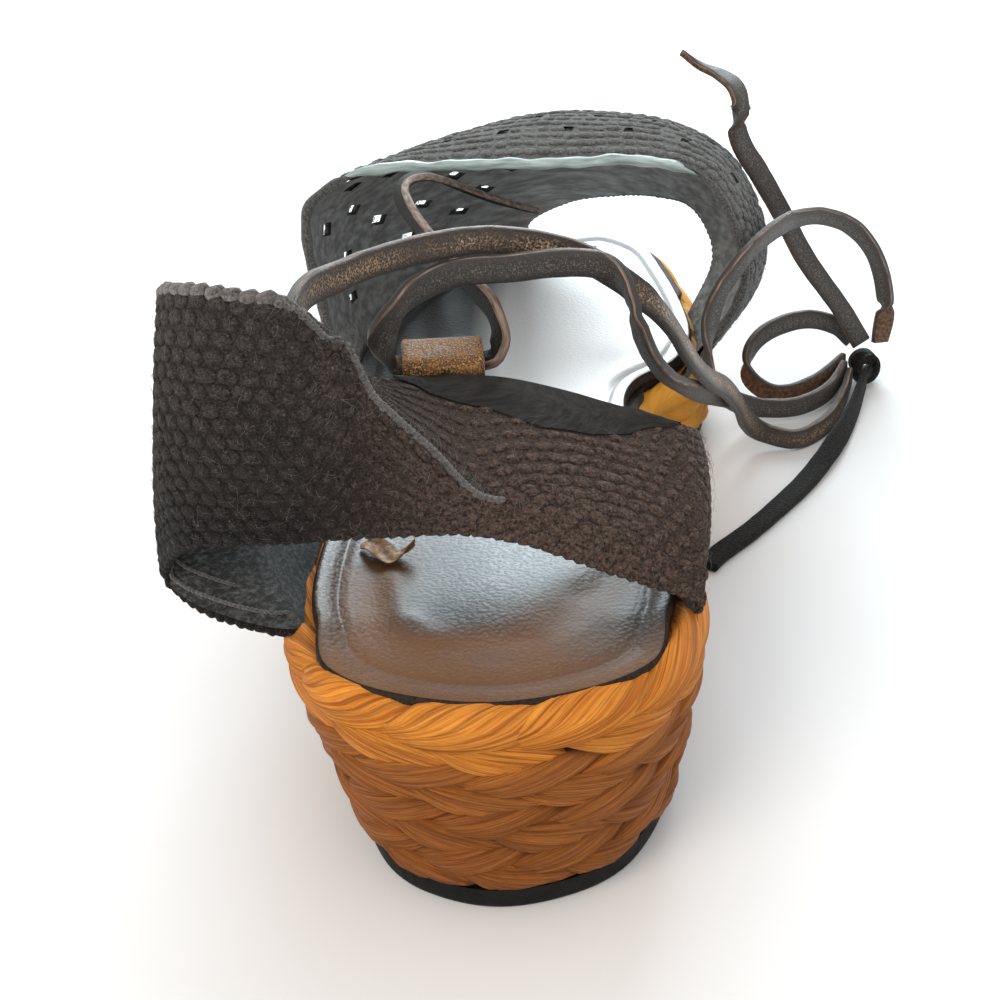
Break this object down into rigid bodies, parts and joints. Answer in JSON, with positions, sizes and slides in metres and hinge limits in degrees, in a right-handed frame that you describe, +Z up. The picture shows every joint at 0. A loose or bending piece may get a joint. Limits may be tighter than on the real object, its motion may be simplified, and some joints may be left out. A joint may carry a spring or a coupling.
{
  "type": "lace-up espadrille",
  "caption": "Left wedge espadrille with a crochet vamp open at the toe, a crochet heel band, a leather pull loop, a flat leather lace and a raffia-wound sole.",
  "frame": {"origin": "middle of the heel's flat underside, on the floor", "axes": "+Y towards the toe, +X towards the medial side, +Z up"},
  "size_m": [0.1534, 0.2483, 0.1016],
  "materials": {
    "rubber": "matt",
    "raffia": "natural fibre",
    "rand_leather": "worn",
    "insole_leather": "grained",
    "crochet": "crochet",
    "loop_leather": "grained",
    "lace_leather": "smooth"
  },
  "bodies": {
    "root": {"outsole": "rubber", "wedge": "raffia", "rand": "rand_leather", "insole": "insole_leather", "vamp": "crochet", "heel_band": "crochet", "pull_loop": "loop_leather", "lace_wing": "lace_leather", "lace_pull": "lace_leather", "lace_curl": "lace_leather", "lace_ring": "lace_leather", "lace_loop": "lace_leather", "lace_heel_end": "lace_leather", "lace_tip_end": "lace_leather", "lace_knot": "lace_leather"}
  },
  "joints": []
}
